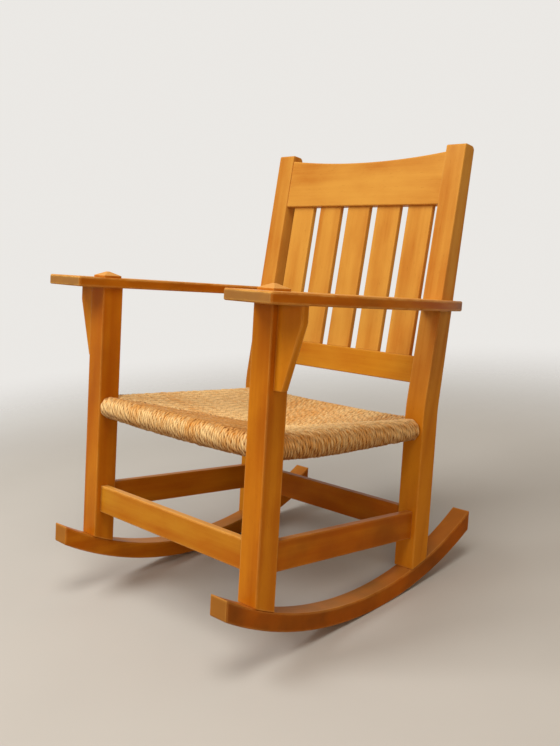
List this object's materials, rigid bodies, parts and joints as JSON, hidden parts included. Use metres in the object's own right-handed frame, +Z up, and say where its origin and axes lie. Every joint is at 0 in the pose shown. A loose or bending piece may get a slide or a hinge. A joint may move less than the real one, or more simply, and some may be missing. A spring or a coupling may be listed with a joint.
{
  "type": "rocking chair",
  "caption": "Wooden rocking armchair with flat boards for arms on corbels, a raked back of upright slats and a woven rush seat, on sawn arc rockers.",
  "frame": {"origin": "on the floor, in the middle of the chair's outline seen from above, at the level where the rockers touch the floor", "axes": "+X towards the sitter's left, -Y the way the sitter faces, +Z up from the floor"},
  "size_m": [0.6964, 0.7098, 0.851],
  "materials": {
    "wood": "satin",
    "rush": "matte"
  },
  "bodies": {
    "root": {"rocker_left": "wood", "rocker_right": "wood", "front_post_left": "wood", "front_post_right": "wood", "back_post_left": "wood", "back_post_right": "wood", "arm_left": "wood", "arm_right": "wood", "corbel_left": "wood", "corbel_right": "wood", "side_stretcher_left": "wood", "side_stretcher_right": "wood", "side_seat_rail_left": "wood", "side_seat_rail_right": "wood", "front_stretcher": "wood", "rear_stretcher": "wood", "front_seat_rail": "wood", "rear_seat_rail": "wood", "crest_rail": "wood", "lower_back_rail": "wood", "back_slat_1": "wood", "back_slat_2": "wood", "back_slat_3": "wood", "back_slat_4": "wood", "back_slat_5": "wood", "rush_seat": "rush"}
  },
  "joints": []
}
